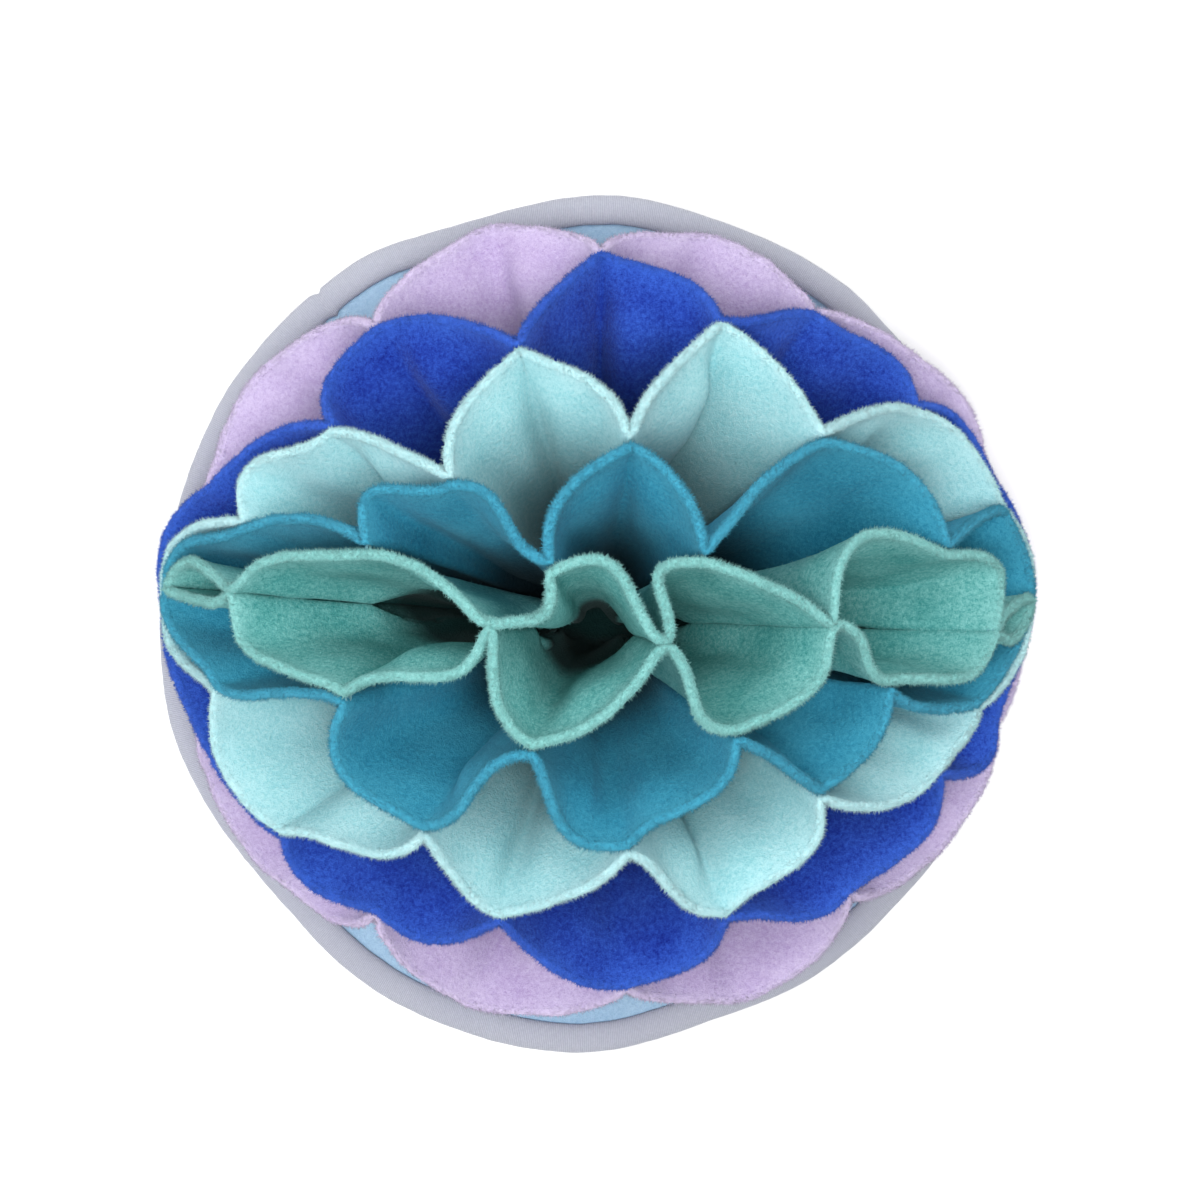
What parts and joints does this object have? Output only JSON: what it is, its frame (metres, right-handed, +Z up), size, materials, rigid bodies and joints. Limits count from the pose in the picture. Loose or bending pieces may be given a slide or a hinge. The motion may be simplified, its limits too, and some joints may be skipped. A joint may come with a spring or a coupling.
{
  "type": "snuffle mat",
  "caption": "Round fleece snuffle mat: nested fleece discs sewn to a bound round base and folded up into a flower of deep cells for hiding dry dog treats.",
  "frame": {"origin": "centre of the base's flat underside, on the floor", "axes": "+Z up; +X to the right as the picture shows it, along the fold of the flower; +Y to the top of the picture"},
  "size_m": [0.3617, 0.3583, 0.1576],
  "materials": {
    "base_disc": "matt light blue fleece over a thin pad",
    "edge_binding": "matt pale grey ribbed binding",
    "leaf_lavender": "matt fleece pile",
    "leaf_royal": "matt fleece pile",
    "leaf_aqua": "matt fleece pile",
    "leaf_teal": "matt fleece pile",
    "leaf_mint": "matt fleece pile"
  },
  "bodies": {
    "root": {"base_disc": "base_disc", "edge_binding": "edge_binding", "leaf_lavender": "leaf_lavender", "leaf_royal": "leaf_royal", "leaf_aqua": "leaf_aqua", "leaf_teal": "leaf_teal", "leaf_mint": "leaf_mint"}
  },
  "joints": []
}
